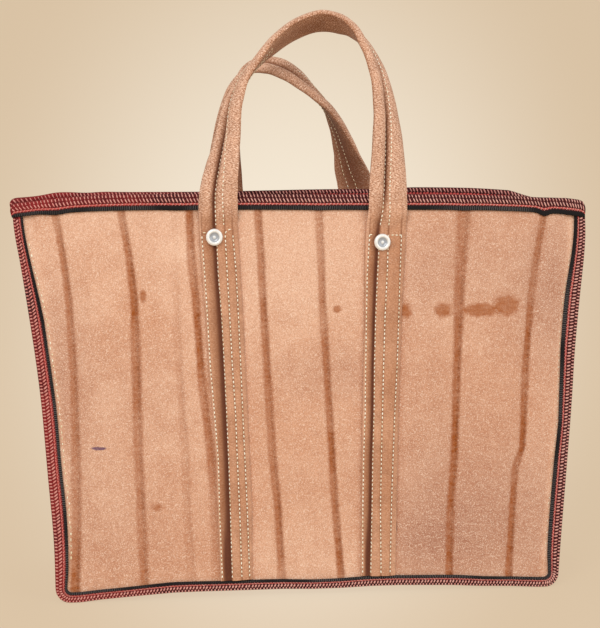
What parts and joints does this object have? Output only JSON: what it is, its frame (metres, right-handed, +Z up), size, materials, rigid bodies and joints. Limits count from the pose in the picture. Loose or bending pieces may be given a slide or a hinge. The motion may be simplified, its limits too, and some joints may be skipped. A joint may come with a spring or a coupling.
{
  "type": "shopping bag",
  "caption": "Flared leather tote with a folded gusset, braided binding round every seam and rim, and strap handles sewn down both faces.",
  "frame": {"origin": "on the surface the bag stands on, under the middle of its box", "axes": "+Z up, front face towards -Y, width along X"},
  "size_m": [0.4972, 0.1302, 0.489],
  "materials": {
    "panel_leather": "napped, matt, tan to peach, with darker worn creases",
    "strap_leather": "napped, matt, brown-tan with cream stitching",
    "braid": "braided tape in maroon, pink, red and black",
    "rivet_metal": "satin white metal"
  },
  "bodies": {
    "root": {"front_panel": "panel_leather", "back_panel": "panel_leather", "gusset": "panel_leather", "front_seam_binding": "braid", "back_seam_binding": "braid", "front_rim_binding": "braid", "back_rim_binding": "braid", "front_handle": "strap_leather", "back_handle": "strap_leather", "front_left_rivet": "rivet_metal", "front_right_rivet": "rivet_metal", "back_left_rivet": "rivet_metal", "back_right_rivet": "rivet_metal"}
  },
  "joints": []
}
